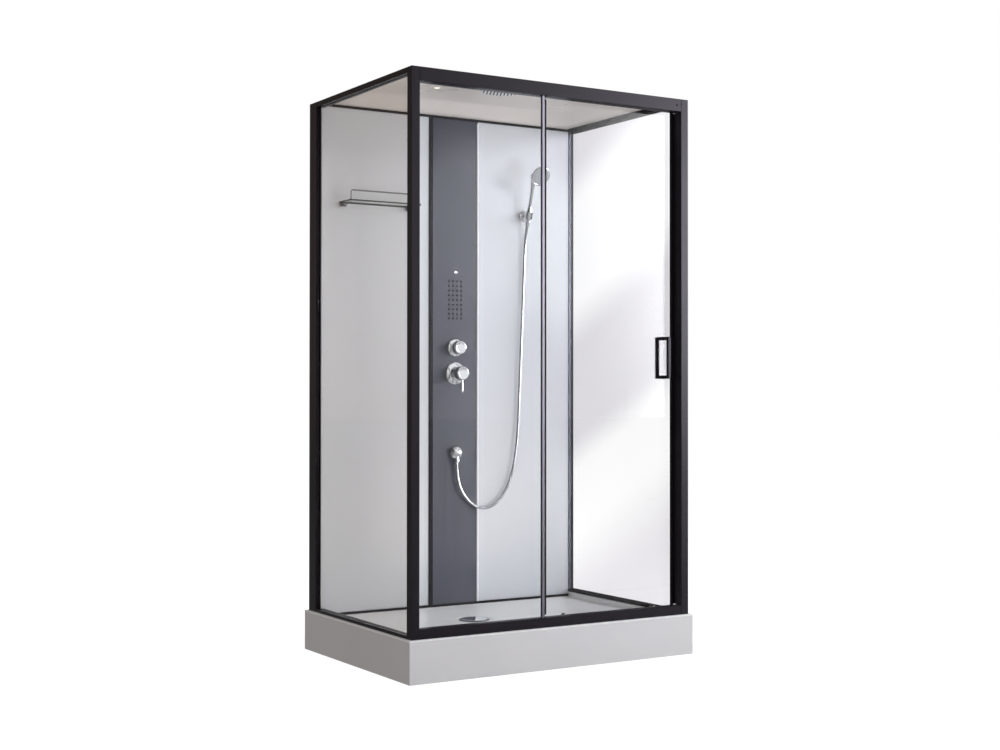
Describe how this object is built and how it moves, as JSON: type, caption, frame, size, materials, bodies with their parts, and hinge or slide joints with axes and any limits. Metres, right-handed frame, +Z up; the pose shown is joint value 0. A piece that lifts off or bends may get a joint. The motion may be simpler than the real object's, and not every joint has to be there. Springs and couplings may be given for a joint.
{
  "type": "hydromassage shower cabin",
  "caption": "Rectangular glazed shower cabin with a sliding door, a dark wall column with body jets, mixer and hand shower, a glass shelf, a domed roof and a low tray.",
  "frame": {"origin": "on the floor, under the middle of the tray", "axes": "+X to the right along the front, +Y from the front to the back wall, +Z up"},
  "size_m": [1.2, 0.85, 2.15],
  "materials": {
    "white_acrylic": "gloss vacuum-formed acrylic",
    "galvanised_steel": "zinc plated square tube and threaded feet",
    "chrome": "polished chrome plate",
    "waste_plastic": "moulded polypropylene",
    "black_aluminium": "satin black powder coat on aluminium extrusion",
    "clear_glass": "clear tempered glass",
    "white_glass": "tempered glass painted white on its back",
    "column_glass": "tempered glass painted blue-grey on its back",
    "black_rubber": "soft black silicone",
    "black_plastic": "moulded black plastic",
    "nylon": "turned nylon",
    "brass": "cast and machined brass",
    "silver_hose": "silver PVC shower hose",
    "pipe_plastic": "grey plastic water pipe",
    "roof_plastic": "vacuum-formed white ABS",
    "lamp_plastic": "opal lens"
  },
  "bodies": {
    "cabin": {"tray_basin": "white_acrylic", "apron_front": "white_acrylic", "side_aprons": "white_acrylic", "tray_frame": "galvanised_steel", "levelling_feet": "galvanised_steel", "drain_flange": "chrome", "mixer_rose": "chrome", "diverter_rose": "chrome", "hose_elbow": "chrome", "shower_holder": "chrome", "shelf_gallery": "chrome", "shelf_brackets": "chrome", "upper_jet": "chrome", "overhead_shower": "chrome", "drain_trap": "waste_plastic", "post_front_left": "black_aluminium", "post_front_right": "black_aluminium", "post_rear_left": "black_aluminium", "post_rear_right": "black_aluminium", "rail_bottom_front": "black_aluminium", "rail_bottom_left": "black_aluminium", "rail_bottom_right": "black_aluminium", "rail_top_front": "black_aluminium", "rail_top_left": "black_aluminium", "rail_top_right": "black_aluminium", "rail_top_rear": "black_aluminium", "fixed_glass_profile": "black_aluminium", "door_jamb": "black_aluminium", "wall_mullion": "black_aluminium", "wall_edge_trims": "black_aluminium", "wall_corner_profile": "black_aluminium", "fixed_glass_front": "clear_glass", "glass_left": "clear_glass", "glass_right": "clear_glass", "shelf_glass": "clear_glass", "wall_panel_left": "white_glass", "wall_panel_right": "white_glass", "column_panel": "column_glass", "jet_nozzles": "black_rubber", "jet_manifold": "black_plastic", "valve_block": "brass", "shower_hose": "silver_hose", "supply_pipes": "pipe_plastic", "roof_shell": "roof_plastic", "ceiling_light": "lamp_plastic"},
    "door": {"door_glass": "clear_glass", "door_stile": "black_aluminium", "door_seal": "black_rubber", "handle_outer": "black_aluminium", "handle_inner": "black_aluminium", "roller_carriers": "black_plastic"},
    "roller_top_left": {"roller_top_left": "nylon"},
    "roller_top_right": {"roller_top_right": "nylon"},
    "roller_bottom_left": {"roller_bottom_left": "nylon"},
    "roller_bottom_right": {"roller_bottom_right": "nylon"},
    "drain_cover": {"drain_cover": "chrome"},
    "diverter_knob": {"diverter_knob": "chrome"},
    "mixer_stem": {"mixer_stem": "brass"},
    "mixer_handle": {"mixer_handle": "chrome"},
    "hand_shower": {"hand_shower": "chrome"}
  },
  "joints": [
    {"name": "door_slide", "type": "slide", "parent": "cabin", "child": "door", "axis": [-1, 0, 0], "range_m": [0, 0.49]},
    {"name": "top_left_roll", "type": "hinge", "parent": "door", "child": "roller_top_left", "pos_m": [0.064, -0.3708, 2.0523], "axis": [0, 1, 0], "continuous": true},
    {"name": "top_right_roll", "type": "hinge", "parent": "door", "child": "roller_top_right", "pos_m": [0.462, -0.3708, 2.0523], "axis": [0, 1, 0], "continuous": true},
    {"name": "bottom_left_roll", "type": "hinge", "parent": "door", "child": "roller_bottom_left", "pos_m": [0.064, -0.3708, 0.1753], "axis": [0, 1, 0], "continuous": true},
    {"name": "bottom_right_roll", "type": "hinge", "parent": "door", "child": "roller_bottom_right", "pos_m": [0.462, -0.3708, 0.1753], "axis": [0, 1, 0], "continuous": true},
    {"name": "drain_cover_lift", "type": "slide", "parent": "cabin", "child": "drain_cover", "axis": [0, 0, 1], "range_m": [0, 0.06]},
    {"name": "diverter_turn", "type": "hinge", "parent": "cabin", "child": "diverter_knob", "pos_m": [0.014, 0.345, 1.157], "axis": [0, 1, 0], "range_deg": [-60, 60]},
    {"name": "mixer_turn", "type": "hinge", "parent": "cabin", "child": "mixer_stem", "pos_m": [0.014, 0.337, 1.055], "axis": [0, 1, 0], "range_deg": [-45, 45]},
    {"name": "mixer_lift", "type": "hinge", "parent": "mixer_stem", "child": "mixer_handle", "pos_m": [0.014, 0.337, 1.055], "axis": [-1, 0, 0], "range_deg": [0, 20]},
    {"name": "hand_shower_lift", "type": "slide", "parent": "cabin", "child": "hand_shower", "axis": [0, -0.2588, 0.9659], "range_m": [0, 0.07]}
  ],
  "couplings": [
    {"joint": "top_left_roll", "follows": "door_slide", "rad_per_m": -111.11},
    {"joint": "top_right_roll", "follows": "door_slide", "rad_per_m": -111.11},
    {"joint": "bottom_left_roll", "follows": "door_slide", "rad_per_m": -142.86},
    {"joint": "bottom_right_roll", "follows": "door_slide", "rad_per_m": -142.86}
  ]
}
